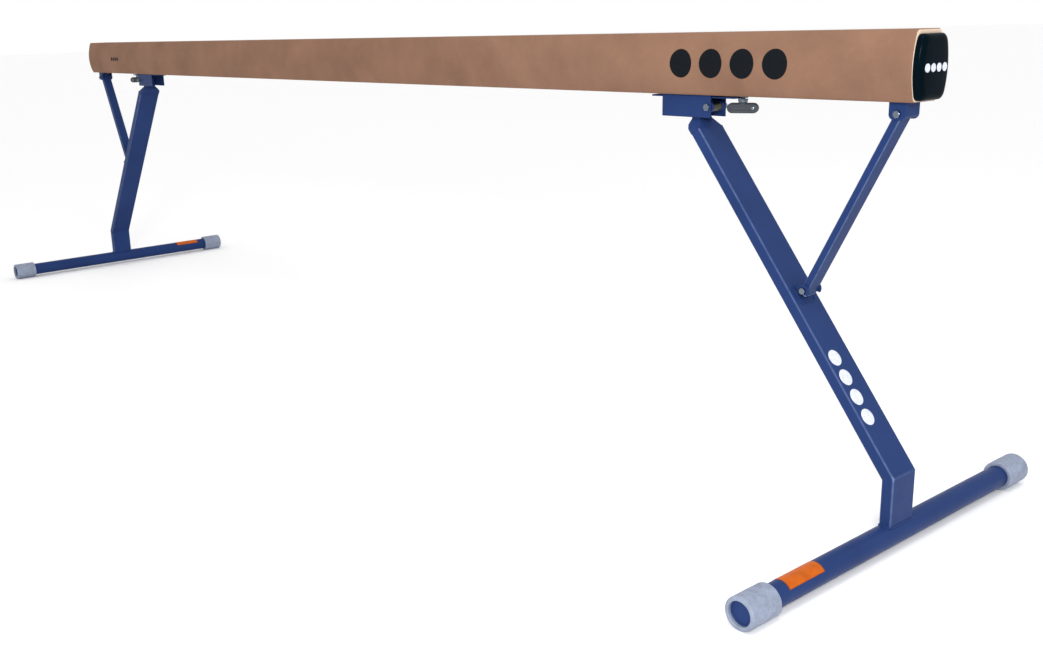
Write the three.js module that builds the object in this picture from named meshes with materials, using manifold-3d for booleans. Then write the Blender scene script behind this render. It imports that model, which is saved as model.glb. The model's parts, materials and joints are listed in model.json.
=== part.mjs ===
// A gymnastics balance beam: a padded, suede-covered beam on two folding steel legs.
// Millimetres, +Z up. The origin is on the floor under the middle of the beam, and +X runs along it.
// The right leg is drawn at +X. The left one is the same leg turned half a turn about Z.
import * as THREE from "three";
import { mergeVertices } from "three/addons/utils/BufferGeometryUtils.js";
import Module from "manifold-3d";

const wasm = await Module();
wasm.setup();

// Clearances
const GAP = 0.3;
const BORE_CLEARANCE = 0.25;
const OVERRUN = 10; // how far a cutting tool runs past what it cuts

// Beam
const BEAM = { length: 5000, top: 1250, height: 160, topWidth: 100, middleWidth: 130, corner: 10 };
const BEAM_BOTTOM = BEAM.top - BEAM.height;
const BEAM_MIDDLE = BEAM.top - BEAM.height / 2;
const COVER = { thickness: 1.5, insideCorner: 8.5 };
const FOAM = { thickness: 8, corner: 8.2, insideCorner: 4 };
const CORE = { wall: 4, corner: 3.7, insideCorner: 3 };
const CAP = { thickness: 22, inset: 4, corner: 18, rounding: 12, spigot: 26 };
const COVER_END = BEAM.length / 2 - CAP.thickness;

// Leg: a rectangular tube that stands on the crossbar, then leans inboard
const LEG = { thick: 32, wide: 100, wall: 3, footX: 2480, bendZ: 190, lean: 37.76, length: 1018 };
const CROSSBAR = { radius: 30, wall: 2.5, length: 1200, plug: 6 };
const CUP = { radius: 40, length: 100, lip: 9, mouthRadius: 29.5, sides: 32 };
const FOOT = { x: LEG.footX, z: CUP.radius };
const LEG_NECK = { inboard: 1824, outboard: 1850, wide: 50, shoulder: 1000, neck: 1026, top: 1077 };
const HEAD_EAR = { radius: 14, gap: 34 };

// Pivots of the folding linkage, as x and z in the right leg's frame
const LOCK_PIVOT = { x: 1880, z: 1058 };
const BRACE_TOP_PIVOT = { x: 2429, z: 1062 };
const BRACE_LOW_PIVOT = { x: 2200, z: 611 };

const BRACE = { thick: 20, wide: 45, wall: 2.5, pastPin: 12 };
const SLEEVE = { radius: 7, pastTube: 1, clearance: 0.2 };
const BRACKET = { half: 22, corner: 13 };
const FORK = { wall: 4, inner: 48, earRadius: 17, footHalf: 26 };
const LOCK_CHANNEL = { start: 1724, end: 1892, bottom: 1030, top: 1089.4, web: 2.7, wall: 4, wide: 66 };
const LOCK_PLATE = { start: 1682, end: 1968, bottom: 1082, thick: 4.4, wide: 56, notchRadius: 7 };
const CLAMP = { x: 1973, stud: 6, hub: 13, hubTop: 1079, hubBottom: 1071, washer: 1.8, insertFlange: 15, insertBarrel: 10 };
const BARREL = { radius: 12, half: 16.7 };
const GRIP = { long: 82, tall: 27, thick: 20, bevel: 4 };
const GRIP_TURN = { right: 25, left: 60 };
const M10 = { radius: 5, head: 9, headHeight: 6, nut: 8 };
const M12 = { radius: 6, head: 10, headHeight: 4, nut: 9 };
const SCREW = { radius: 3, head: 6, headHeight: 3.5, offset: 14 };

const SIDES = { small: 10, pin: 12, disc: 18, tube: 32 };

const leanAngle = THREE.MathUtils.degToRad(LEG.lean);
const legUp = new THREE.Vector2(-Math.sin(leanAngle), Math.cos(leanAngle));
const legOut = new THREE.Vector2(Math.cos(leanAngle), Math.sin(leanAngle));

const FINISHES = {
  suede: { color: "#b0826a", roughness: 0.95, metalness: 0 },
  foam: { color: "#e4d9c0", roughness: 1, metalness: 0 },
  aluminium: { color: "#c4c6c8", roughness: 0.4, metalness: 1 },
  gloss_plastic: { color: "#0c141c", roughness: 0.25, metalness: 0 },
  powder_coat: { color: "#344c82", roughness: 0.45, metalness: 0 },
  rubber: { color: "#9aa2b2", roughness: 0.85, metalness: 0 },
  zinc: { color: "#b8c0c6", roughness: 0.3, metalness: 1 },
  yellow_zinc: { color: "#8b8440", roughness: 0.45, metalness: 1 },
  nylon: { color: "#e6e4da", roughness: 0.6, metalness: 0 },
  grip_plastic: { color: "#4a4d50", roughness: 0.55, metalness: 0 },
};

// A closed geometry as a manifold-3d solid.
function toSolid(geometry) {
  const bare = geometry.clone();
  bare.deleteAttribute("normal");
  bare.deleteAttribute("uv");
  const merged = mergeVertices(bare, 1e-4);
  const mesh = new wasm.Mesh({
    numProp: 3,
    vertProperties: merged.attributes.position.array,
    triVerts: new Uint32Array(merged.index.array),
  });
  return new wasm.Manifold(mesh);
}

function toGeometry(solid) {
  const mesh = solid.getMesh();
  const geometry = new THREE.BufferGeometry();
  geometry.setAttribute("position", new THREE.BufferAttribute(mesh.vertProperties, 3));
  geometry.setIndex(new THREE.BufferAttribute(mesh.triVerts, 1));
  geometry.computeVertexNormals();
  return geometry;
}

function cut(base, ...tools) {
  return toGeometry(tools.reduce((rest, tool) => rest.subtract(toSolid(tool)), toSolid(base)));
}

function join(...pieces) {
  return toGeometry(pieces.map(toSolid).reduce((sum, piece) => sum.add(piece)));
}

function common(a, b) {
  return toGeometry(toSolid(a).intersect(toSolid(b)));
}

// Solids with round or flat sides

function rodAlongY(at, radius, from, to, sides = SIDES.pin) {
  const rod = new THREE.CylinderGeometry(radius, radius, to - from, sides);
  return rod.rotateY(Math.PI / sides).translate(at.x, (from + to) / 2, at.z);
}

function rodAlongZ(x, y, radius, bottom, top, sides = SIDES.pin) {
  const rod = new THREE.CylinderGeometry(radius, radius, top - bottom, sides);
  return rod.rotateX(Math.PI / 2).translate(x, y, (bottom + top) / 2);
}

function block(x0, x1, y0, y1, z0, z1) {
  const box = new THREE.BoxGeometry(x1 - x0, y1 - y0, z1 - z0);
  return box.translate((x0 + x1) / 2, (y0 + y1) / 2, (z0 + z1) / 2);
}

// A profile drawn in x and z, with its thickness along y.
function plateAlongY(shape, from, to, curveSegments = 5) {
  const plate = new THREE.ExtrudeGeometry(shape, { depth: to - from, bevelEnabled: false, curveSegments });
  return plate.rotateX(Math.PI / 2).translate(0, to, 0);
}

function outline(points) {
  return new THREE.Shape(points.map(([x, z]) => new THREE.Vector2(x, z)));
}

// Points at a distance up the leaning tube from the bend, and a distance out from its centre line.
function onLeg(up, out) {
  return [
    LEG.footX + up * legUp.x + out * legOut.x,
    LEG.bendZ + up * legUp.y + out * legOut.y,
  ];
}

// Beam section: flat top and bottom, bulged sides, rounded corners, moved in by inset.
function beamOutline(inset, corner) {
  const half = BEAM.height / 2 - inset;
  const bulge = (BEAM.middleWidth - BEAM.topWidth) / 2;
  const sideRadius = ((BEAM.height / 2) ** 2 + bulge ** 2) / (2 * bulge);
  const centreY = BEAM.middleWidth / 2 - sideRadius;
  const radius = sideRadius - inset;
  const cornerY = centreY + Math.sqrt((radius - corner) ** 2 - (half - corner) ** 2);
  const turn = Math.asin((half - corner) / (radius - corner));
  const quarter = [];
  const cornerSteps = 3;
  const sideSteps = 3;
  for (let i = 0; i <= cornerSteps; i++) {
    const angle = Math.PI / 2 + ((turn - Math.PI / 2) * i) / cornerSteps;
    quarter.push([cornerY + corner * Math.cos(angle), half - corner + corner * Math.sin(angle)]);
  }
  for (let i = 1; i <= sideSteps; i++) {
    const angle = turn * (1 - i / sideSteps);
    quarter.push([centreY + radius * Math.cos(angle), radius * Math.sin(angle)]);
  }
  const rightSide = [...quarter, ...quarter.slice(0, -1).reverse().map(([y, z]) => [y, -z])];
  return [...rightSide, ...rightSide.map(([y, z]) => [-y, -z])];
}

// A solid through beam sections, each given as its place along x, its inset and its corner radius.
function loftAlongX(sections) {
  const rings = sections.map(({ x, inset, corner }) =>
    beamOutline(inset, corner).map(([y, z]) => [x, y, BEAM_MIDDLE + z]),
  );
  const count = rings[0].length;
  const last = rings.length - 1;
  const vertices = [...rings.flat(), [sections[0].x, 0, BEAM_MIDDLE], [sections[last].x, 0, BEAM_MIDDLE]];
  const startCentre = rings.length * count;
  const triangles = [];
  for (let i = 0; i < count; i++) {
    const next = (i + 1) % count;
    for (let ring = 0; ring < last; ring++) {
      const a = ring * count + i;
      const b = ring * count + next;
      triangles.push(a, b + count, b, a, a + count, b + count);
    }
    triangles.push(startCentre, i, next, startCentre + 1, last * count + next, last * count + i);
  }
  const geometry = new THREE.BufferGeometry();
  geometry.setAttribute("position", new THREE.Float32BufferAttribute(vertices.flat(), 3));
  geometry.setIndex(triangles);
  return geometry;
}

function beamPrism(halfLength, inset, corner) {
  return loftAlongX([
    { x: -halfLength, inset, corner },
    { x: halfLength, inset, corner },
  ]);
}

// Where screws and clamp inserts enter the underside, at both ends of the beam.
function undersideHoles(screwRadius, insertRadius) {
  const holes = [];
  for (const end of [1, -1]) {
    for (const y of [SCREW.offset, -SCREW.offset]) {
      const x = end * BRACE_TOP_PIVOT.x;
      holes.push(rodAlongZ(x, y, screwRadius, BEAM_BOTTOM - 5, BEAM_BOTTOM + 30, SIDES.small));
    }
    holes.push(rodAlongZ(end * CLAMP.x, 0, insertRadius, BEAM_BOTTOM - 5, BEAM_BOTTOM + 30));
  }
  return holes;
}

function sleeve(halfLength, outer, inner) {
  const bore = beamPrism(halfLength + OVERRUN, inner.inset, inner.corner);
  const holes = undersideHoles(SCREW.radius + GAP, CLAMP.insertBarrel + GAP);
  return cut(beamPrism(halfLength, outer.inset, outer.corner), bore, ...holes);
}

function suedeCover() {
  return sleeve(COVER_END, { inset: 0, corner: BEAM.corner }, { inset: COVER.thickness, corner: COVER.insideCorner });
}

function foamPadding() {
  const inset = COVER.thickness + GAP;
  const inside = { inset: inset + FOAM.thickness, corner: FOAM.insideCorner };
  return sleeve(COVER_END - 1, { inset, corner: FOAM.corner }, inside);
}

function beamCore() {
  const inset = COVER.thickness + FOAM.thickness + 2 * GAP;
  const inside = { inset: inset + CORE.wall, corner: CORE.insideCorner };
  return sleeve(COVER_END - 1, { inset, corner: CORE.corner }, inside);
}

// End cap: a rounded face with a spigot that plugs into the core.
function endCap() {
  const coreBore = COVER.thickness + FOAM.thickness + CORE.wall + 2 * GAP;
  const back = COVER_END + GAP;
  const face = BEAM.length / 2;
  const sections = [
    { x: back - CAP.spigot, inset: coreBore + 1, corner: CORE.insideCorner },
    { x: back, inset: coreBore + 1, corner: CORE.insideCorner },
    { x: back, inset: CAP.inset, corner: CAP.corner },
  ];
  const steps = 3;
  for (let i = 0; i <= steps; i++) {
    const angle = (Math.PI / 2) * (i / steps);
    sections.push({
      x: face - CAP.rounding * (1 - Math.sin(angle)),
      inset: CAP.inset + CAP.rounding * (1 - Math.cos(angle)),
      corner: CAP.corner,
    });
  }
  return toGeometry(toSolid(loftAlongX(sections)));
}

// Brace bracket: two cheeks under the beam with a web across their outboard end and rounded lower corners.
function braceBracket() {
  const { x, z } = BRACE_TOP_PIVOT;
  const top = BEAM_BOTTOM - GAP;
  const { half, corner } = BRACKET;
  const cheek = new THREE.Shape();
  cheek.moveTo(x - half, top);
  cheek.lineTo(x - half, z);
  cheek.absarc(x - half + corner, z, corner, Math.PI, 1.5 * Math.PI);
  cheek.absarc(x + half - corner, z, corner, 1.5 * Math.PI, 2 * Math.PI);
  cheek.lineTo(x + half, top);
  const outer = FORK.inner / 2 + FORK.wall;
  const body = plateAlongY(cheek, -outer, outer);
  const webFace = x + half - FORK.wall;
  const inside = block(x - 40, webFace, -FORK.inner / 2, FORK.inner / 2, z - 40, top - FORK.wall);
  const boltHole = rodAlongY(BRACE_TOP_PIVOT, M10.radius + BORE_CLEARANCE, -outer - 5, outer + 5);
  const screwHoles = [SCREW.offset, -SCREW.offset].map((y) =>
    rodAlongZ(x, y, SCREW.radius + GAP, top - 10, top + 10, SIDES.small),
  );
  return cut(body, inside, boltHole, ...screwHoles);
}

function bracketScrew(y) {
  const { x } = BRACE_TOP_PIVOT;
  const under = BEAM_BOTTOM - 2 * GAP - FORK.wall;
  const head = rodAlongZ(x, y, SCREW.head, under - SCREW.headHeight, under, SIDES.small);
  const shank = rodAlongZ(x, y, SCREW.radius, under - 1, BEAM_BOTTOM + 20, SIDES.small);
  return join(head, shank);
}

// A bolt along y: its head is at the front, and the thread carries on past the nut.
function bolt(at, size, half, nutSide) {
  const head = rodAlongY(at, size.head, -half - GAP - size.headHeight, -half - GAP, 6);
  const shank = rodAlongY(at, size.radius, -half - 2, half + nutSide + 4);
  return join(head, shank);
}

function nut(at, size, half) {
  const body = rodAlongY(at, size.head, half + GAP, half + GAP + size.nut, 6);
  const bore = rodAlongY(at, size.radius + BORE_CLEARANCE, half - 5, half + size.nut + 5);
  return cut(body, bore);
}

// Brace: a rectangular tube between its two pivots, open at both ends.
function braceTube() {
  const low = new THREE.Vector2(BRACE_LOW_PIVOT.x, BRACE_LOW_PIVOT.z);
  const high = new THREE.Vector2(BRACE_TOP_PIVOT.x, BRACE_TOP_PIVOT.z);
  const along = high.clone().sub(low).normalize();
  const across = new THREE.Vector2(-along.y, along.x);
  const bar = (past, half) => {
    const corner = (end, way, side) => {
      const point = end.clone().addScaledVector(along, way * past).addScaledVector(across, side * half);
      return [point.x, point.y];
    };
    return outline([corner(low, -1, 1), corner(low, -1, -1), corner(high, 1, -1), corner(high, 1, 1)]);
  };
  const tube = plateAlongY(bar(BRACE.pastPin, BRACE.thick / 2), -BRACE.wide / 2, BRACE.wide / 2);
  const insideHalf = BRACE.wide / 2 - BRACE.wall;
  const inside = plateAlongY(bar(BRACE.pastPin + OVERRUN, BRACE.thick / 2 - BRACE.wall), -insideHalf, insideHalf);
  const holes = [BRACE_LOW_PIVOT, BRACE_TOP_PIVOT].map((at) => rodAlongY(at, SLEEVE.radius + SLEEVE.clearance, -40, 40));
  return cut(tube, inside, ...holes);
}

function braceSleeve(at) {
  const half = BRACE.wide / 2 + SLEEVE.pastTube;
  return cut(rodAlongY(at, SLEEVE.radius, -half, half), rodAlongY(at, M10.radius + BORE_CLEARANCE, -40, 40));
}

// The leg tube's side view: upright on the crossbar, mitred at the bend, then leaning.
function legSide(half, bottom, length) {
  const mitre = half * Math.tan(leanAngle / 2);
  return outline([
    [LEG.footX - half, bottom],
    [LEG.footX + half, bottom],
    [LEG.footX + half, LEG.bendZ + mitre],
    onLeg(length, half),
    onLeg(length, -half),
    [LEG.footX - half, LEG.bendZ - mitre],
  ]);
}

function legTube() {
  const tube = plateAlongY(legSide(LEG.thick / 2, FOOT.z, LEG.length), -LEG.wide / 2, LEG.wide / 2);
  const insideHalf = LEG.wide / 2 - LEG.wall;
  const inside = plateAlongY(
    legSide(LEG.thick / 2 - LEG.wall, FOOT.z - OVERRUN, LEG.length + OVERRUN),
    -insideHalf,
    insideHalf,
  );
  const crossbar = rodAlongY(FOOT, CROSSBAR.radius + GAP, -LEG.wide, LEG.wide, SIDES.tube);
  return cut(tube, inside, crossbar);
}

// Leg head: the tube narrows at its shoulders to a neck, which carries the lock pivot's two ears.
function legHead() {
  const { x, z } = LOCK_PIVOT;
  const ear = HEAD_EAR.radius;
  const half = LEG.thick / 2;
  const base = LEG.length + GAP;
  const [outX, outZ] = onLeg(base, half);
  const neckTurn = outZ + ((outX - LEG_NECK.outboard) / -legUp.x) * legUp.y;
  const [inX, inZ] = onLeg(base, -half);
  const heelTurn = inZ + ((inX - LEG_NECK.inboard) / -legUp.x) * legUp.y;
  const side = new THREE.Shape();
  side.moveTo(inX, inZ);
  side.lineTo(outX, outZ);
  side.lineTo(LEG_NECK.outboard, neckTurn);
  side.lineTo(LEG_NECK.outboard, z - ear - 6);
  side.absarc(x, z, ear, -0.55 * Math.PI, 0.55 * Math.PI);
  side.lineTo(LEG_NECK.outboard + 4, LEG_NECK.top);
  side.lineTo(LEG_NECK.inboard + 6, LEG_NECK.top);
  side.lineTo(LEG_NECK.inboard, LEG_NECK.top - 8);
  side.lineTo(LEG_NECK.inboard, heelTurn);
  const front = new THREE.Shape();
  const wide = LEG.wide / 2;
  const neck = LEG_NECK.wide / 2;
  front.moveTo(-wide, LEG_NECK.shoulder - 60);
  front.lineTo(wide, LEG_NECK.shoulder - 60);
  front.lineTo(wide, LEG_NECK.shoulder);
  front.lineTo(neck, LEG_NECK.neck);
  front.lineTo(neck, LEG_NECK.top + 10);
  front.lineTo(-neck, LEG_NECK.top + 10);
  front.lineTo(-neck, LEG_NECK.neck);
  front.lineTo(-wide, LEG_NECK.shoulder);
  const sideSolid = plateAlongY(side, -wide - 5, wide + 5);
  const frontSolid = new THREE.ExtrudeGeometry(front, { depth: 200, bevelEnabled: false });
  frontSolid.rotateX(Math.PI / 2).rotateZ(Math.PI / 2).translate(x - 100, 0, 0);
  const earGap = HEAD_EAR.gap / 2;
  const between = block(LEG_NECK.outboard + 6, x + 40, -earGap, earGap, z - 30, LEG_NECK.top + 10);
  const boltHole = rodAlongY(LOCK_PIVOT, M12.radius + BORE_CLEARANCE, -wide, wide);
  return cut(common(sideSolid, frontSolid), between, boltHole);
}

function pivotBarrel() {
  const bore = rodAlongY(LOCK_PIVOT, M12.radius + BORE_CLEARANCE, -30, 30);
  return cut(rodAlongY(LOCK_PIVOT, BARREL.radius, -BARREL.half, BARREL.half, SIDES.disc), bore);
}

function crossbar() {
  const half = CROSSBAR.length / 2;
  const tube = rodAlongY(FOOT, CROSSBAR.radius, -half, half, SIDES.tube);
  return cut(tube, rodAlongY(FOOT, CROSSBAR.radius - CROSSBAR.wall, -half - OVERRUN, half + OVERRUN, SIDES.tube));
}

// From one distance to another along y, towards the end that is 1 or -1, lowest first.
function span(end, from, to) {
  return [Math.min(end * from, end * to), Math.max(end * from, end * to)];
}

function crossbarPlug(end) {
  const half = CROSSBAR.length / 2;
  const radius = CROSSBAR.radius - CROSSBAR.wall - GAP;
  return rodAlongY(FOOT, radius, ...span(end, half - CROSSBAR.plug, half), SIDES.tube);
}

// Rubber cup: a sleeve on the crossbar's end, with a lip round its mouth and a flat along the floor.
function rubberCup(end) {
  const half = CROSSBAR.length / 2;
  const mouth = half + CUP.lip;
  const back = mouth - CUP.length;
  const outerRadius = CUP.radius / Math.cos(Math.PI / CUP.sides);
  const body = rodAlongY(FOOT, outerRadius, ...span(end, back, mouth), CUP.sides);
  const seat = rodAlongY(FOOT, CROSSBAR.radius + GAP, ...span(end, back - 5, half + GAP), SIDES.tube);
  const opening = rodAlongY(FOOT, CUP.mouthRadius, ...span(end, half - 5, mouth + 5), SIDES.tube);
  return cut(body, seat, opening);
}

// Clevis on the leg's outboard face: two ears on a base, round the brace's lower pivot.
function legClevis() {
  const { x, z } = BRACE_LOW_PIVOT;
  const fromBend = new THREE.Vector2(x - LEG.footX, z - LEG.bendZ);
  const up = fromBend.dot(legUp);
  const face = LEG.thick / 2 + GAP;
  const outer = FORK.inner / 2 + FORK.wall;
  const ear = new THREE.Shape();
  ear.moveTo(...onLeg(up - FORK.footHalf, face));
  ear.absarc(x, z, FORK.earRadius, leanAngle - 0.42 * Math.PI, leanAngle + 0.42 * Math.PI);
  ear.lineTo(...onLeg(up + FORK.footHalf, face));
  const body = plateAlongY(ear, -outer, outer, 8);
  const gap = outline([
    onLeg(up - 60, face + FORK.wall),
    onLeg(up - 60, face + 80),
    onLeg(up + 60, face + 80),
    onLeg(up + 60, face + FORK.wall),
  ]);
  const inside = plateAlongY(gap, -FORK.inner / 2, FORK.inner / 2);
  return cut(body, inside, rodAlongY(BRACE_LOW_PIVOT, M10.radius + BORE_CLEARANCE, -40, 40));
}

// Lock channel: an inverted U over the leg head, bolted through at the lock pivot.
function lockChannel() {
  const { start, end, bottom, top, web, wall, wide } = LOCK_CHANNEL;
  const body = block(start, end, -wide / 2, wide / 2, bottom, top);
  const inside = block(start - 5, end + 5, wall - wide / 2, wide / 2 - wall, bottom - 5, top - web);
  return cut(body, inside, rodAlongY(LOCK_PIVOT, M12.radius + BORE_CLEARANCE, -50, 50));
}

// Lock plate: it lies under the channel's web and reaches out to the clamp, with a notch for the stud.
function lockPlate() {
  const { start, end, bottom, thick, wide, notchRadius } = LOCK_PLATE;
  const plate = block(start, end, -wide / 2, wide / 2, bottom, bottom + thick);
  return cut(plate, rodAlongZ(CLAMP.x, 0, notchRadius, bottom - 5, bottom + thick + 5));
}

function clampInsert() {
  const top = BEAM_BOTTOM - GAP;
  const flange = rodAlongZ(CLAMP.x, 0, CLAMP.insertFlange, top - 2.5, top, SIDES.disc);
  const barrel = rodAlongZ(CLAMP.x, 0, CLAMP.insertBarrel, top - 1, BEAM_BOTTOM + 24);
  const bore = rodAlongZ(CLAMP.x, 0, CLAMP.stud + BORE_CLEARANCE, top - 10, BEAM_BOTTOM + 40);
  return cut(join(flange, barrel), bore);
}

function clampWasher() {
  const bottom = CLAMP.hubTop + GAP;
  const disc = rodAlongZ(CLAMP.x, 0, CLAMP.hub, bottom, bottom + CLAMP.washer, SIDES.disc);
  return cut(disc, rodAlongZ(CLAMP.x, 0, CLAMP.stud + BORE_CLEARANCE, bottom - 5, bottom + 10));
}

function clampScrew() {
  const hub = rodAlongZ(CLAMP.x, 0, CLAMP.hub, CLAMP.hubBottom + GAP, CLAMP.hubTop, SIDES.disc);
  const stud = rodAlongZ(CLAMP.x, 0, CLAMP.stud, CLAMP.hubTop - 1, BEAM_BOTTOM + 22);
  const tang = rodAlongZ(CLAMP.x, 0, CLAMP.stud - 1, CLAMP.hubBottom - 20, CLAMP.hubBottom + 1);
  return join(hub, stud, tang);
}

// Grip: a stadium-shaped bar across the clamp screw.
function clampGrip(turn) {
  const { long, tall, thick, bevel } = GRIP;
  const middle = CLAMP.hubBottom - tall / 2;
  const radius = tall / 2 - bevel;
  const reach = long / 2 - tall / 2;
  const side = new THREE.Shape();
  side.absarc(reach, 0, radius, -Math.PI / 2, Math.PI / 2);
  side.absarc(-reach, 0, radius, Math.PI / 2, 1.5 * Math.PI);
  const bar = new THREE.ExtrudeGeometry(side, {
    depth: thick - 2 * bevel,
    bevelThickness: bevel,
    bevelSize: bevel,
    bevelSegments: 2,
    curveSegments: 6,
  });
  bar.translate(0, 0, bevel - thick / 2).rotateX(Math.PI / 2);
  bar.rotateZ(THREE.MathUtils.degToRad(turn)).translate(CLAMP.x, 0, middle);
  const socket = rodAlongZ(CLAMP.x, 0, CLAMP.stud - 1 + BORE_CLEARANCE, CLAMP.hubBottom - 21, CLAMP.hubBottom + 5);
  return cut(bar, socket);
}

// What stands at each end of the beam, as name, geometry and finish.
function endPieces(side) {
  const bracketHalf = FORK.inner / 2 + FORK.wall;
  const channelHalf = LOCK_CHANNEL.wide / 2;
  return [
    ["end_cap", endCap(), "gloss_plastic"],
    ["brace_bracket", braceBracket(), "powder_coat"],
    ["bracket_screw_front", bracketScrew(-SCREW.offset), "zinc"],
    ["bracket_screw_rear", bracketScrew(SCREW.offset), "zinc"],
    ["brace_top_bolt", bolt(BRACE_TOP_PIVOT, M10, bracketHalf, M10.nut), "zinc"],
    ["brace_top_nut", nut(BRACE_TOP_PIVOT, M10, bracketHalf), "zinc"],
    ["clamp_insert", clampInsert(), "zinc"],
    ["brace_tube", braceTube(), "powder_coat"],
    ["brace_top_sleeve", braceSleeve(BRACE_TOP_PIVOT), "nylon"],
    ["brace_low_sleeve", braceSleeve(BRACE_LOW_PIVOT), "nylon"],
    ["leg_tube", legTube(), "powder_coat"],
    ["leg_head", legHead(), "powder_coat"],
    ["pivot_barrel", pivotBarrel(), "yellow_zinc"],
    ["crossbar", crossbar(), "powder_coat"],
    ["crossbar_plug_front", crossbarPlug(-1), "powder_coat"],
    ["crossbar_plug_rear", crossbarPlug(1), "powder_coat"],
    ["rubber_cup_front", rubberCup(-1), "rubber"],
    ["rubber_cup_rear", rubberCup(1), "rubber"],
    ["leg_clevis", legClevis(), "powder_coat"],
    ["clevis_bolt", bolt(BRACE_LOW_PIVOT, M10, bracketHalf, M10.nut), "zinc"],
    ["clevis_nut", nut(BRACE_LOW_PIVOT, M10, bracketHalf), "zinc"],
    ["lock_channel", lockChannel(), "powder_coat"],
    ["lock_plate", lockPlate(), "powder_coat"],
    ["lock_bolt", bolt(LOCK_PIVOT, M12, channelHalf, M12.nut), "zinc"],
    ["lock_nut", nut(LOCK_PIVOT, M12, channelHalf), "zinc"],
    ["clamp_washer", clampWasher(), "zinc"],
    ["clamp_screw", clampScrew(), "zinc"],
    ["clamp_grip", clampGrip(GRIP_TURN[side]), "grip_plastic"],
  ];
}

function addMesh(group, name, geometry, finish) {
  const mesh = new THREE.Mesh(geometry, new THREE.MeshStandardMaterial(FINISHES[finish]));
  mesh.name = name;
  group.add(mesh);
}

const balanceBeam = new THREE.Group();
addMesh(balanceBeam, "beam_core", beamCore(), "aluminium");
addMesh(balanceBeam, "foam_padding", foamPadding(), "foam");
addMesh(balanceBeam, "suede_cover", suedeCover(), "suede");
for (const side of ["right", "left"]) {
  const end = new THREE.Group();
  end.rotation.z = side === "left" ? Math.PI : 0;
  balanceBeam.add(end);
  for (const [name, geometry, finish] of endPieces(side)) {
    addMesh(end, `${side}_${name}`, geometry, finish);
  }
}

export default balanceBeam;
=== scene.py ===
"""Gymnastics balance beam: the finished surfaces round the CAD frame, laid out as a Blender add-on."""

import json
import math

import bmesh
import bpy
from mathutils import Matrix, Vector


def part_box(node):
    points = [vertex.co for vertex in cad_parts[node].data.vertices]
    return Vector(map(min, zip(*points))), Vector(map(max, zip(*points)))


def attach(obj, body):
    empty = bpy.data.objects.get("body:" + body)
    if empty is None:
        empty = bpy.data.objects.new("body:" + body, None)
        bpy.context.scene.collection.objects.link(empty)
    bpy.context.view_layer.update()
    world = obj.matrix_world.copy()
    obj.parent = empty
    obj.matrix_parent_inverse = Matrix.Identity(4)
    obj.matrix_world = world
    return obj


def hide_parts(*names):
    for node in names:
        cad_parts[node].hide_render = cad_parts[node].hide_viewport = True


bl_info = {
    "name": "Balance Beam",
    "version": (1, 0, 0),
    "blender": (4, 5, 0),
    "location": "3D View > Sidebar > Balance Beam",
    "description": "Builds a padded balance beam on two folding steel legs",
    "category": "Add Mesh",
}

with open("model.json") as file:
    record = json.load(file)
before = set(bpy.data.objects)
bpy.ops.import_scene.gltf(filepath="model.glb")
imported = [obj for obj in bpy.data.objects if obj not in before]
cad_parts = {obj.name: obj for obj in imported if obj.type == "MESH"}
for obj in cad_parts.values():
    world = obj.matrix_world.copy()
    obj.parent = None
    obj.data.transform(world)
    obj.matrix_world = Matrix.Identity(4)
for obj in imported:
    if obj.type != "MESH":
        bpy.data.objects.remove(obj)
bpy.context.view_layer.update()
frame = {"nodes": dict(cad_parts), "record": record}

MM = 0.001
SIDES = ("right", "left")
ACROSS = Vector((0, 1, 0))
UP = Vector((0, 0, 1))


def cad_box(name):
    """The right end's copy of a CAD node: its lowest corner, highest corner and middle."""
    low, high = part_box("right_" + name)
    return low, high, (low + high) / 2


# Sizes from the CAD frame, in metres. Pieces are built for the right end and turned for the left one.

BEAM_LOW, BEAM_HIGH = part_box("suede_cover")
BEAM_MIDDLE = (BEAM_LOW.z + BEAM_HIGH.z) / 2
HALF_HEIGHT = (BEAM_HIGH.z - BEAM_LOW.z) / 2
HALF_WIDTH = (BEAM_HIGH.y - BEAM_LOW.y) / 2
CAP_FACE = cad_box("end_cap")[1].x
BAR_LOW, BAR_HIGH, BAR_MIDDLE = cad_box("crossbar")
BAR_RADIUS = (BAR_HIGH.z - BAR_LOW.z) / 2
FOOT = Vector((BAR_MIDDLE.x, 0, BAR_MIDDLE.z))

# Sizes of the finish that the frame doesn't hold, in metres

SEAM_DEPTH, SEAM_HALF_WIDTH = 0.0012, 0.0022
COVER_ROLL, COVER_SWELL = 0.0032, 0.00045
INK_LIFT, INK_SINK = 0.0009, 0.0006
LEG_THICK, LEG_WIDE = 0.032, 0.1
BRACE_THICK, BRACE_WIDE, BRACE_WALL = 0.02, 0.045, 0.0025
CLEVIS_LONG, CLEVIS_WIDE = 0.053, 0.057
LABEL_START, LABEL_END, LABEL_BORDER = -0.464, -0.332, 0.0025
CUP_SEAT, CUP_MOUTH = 0.0301, 0.0295
WASHER_HEIGHT = 0.0012
THREAD_PITCH = 0.002
FLOOR_REACH = 90.0

# Extra outline points this far from a tube's corners keep its painted edge highlights narrow.
TUBE_FLATS = (0.001, 0.003)

# Each row of printed discs: the place of the first disc, and the step to the next.
DISCS_IN_ROW = 4
LARGE_ROW, SMALL_ROW = (1.815, 0.1), (2.07, 0.026)
CAP_ROW, LEG_ROW = (-0.036, 0.0235), (0.156, 0.055)

# Degrees that each grip is turned from the beam's length.
GRIP_TURN = {"right": 25, "left": 60}

# Hinge bolts: bolt, nut, the body they ride on, the shank's radius, and the head's radius to its corners.
HINGE_BOLTS = (
    ("brace_top_bolt", "brace_top_nut", "beam", 0.005, 0.0092),
    ("clevis_bolt", "clevis_nut", "{side}_leg", 0.005, 0.0092),
    ("lock_bolt", "lock_nut", "{side}_lock", 0.006, 0.0102),
)

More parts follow.
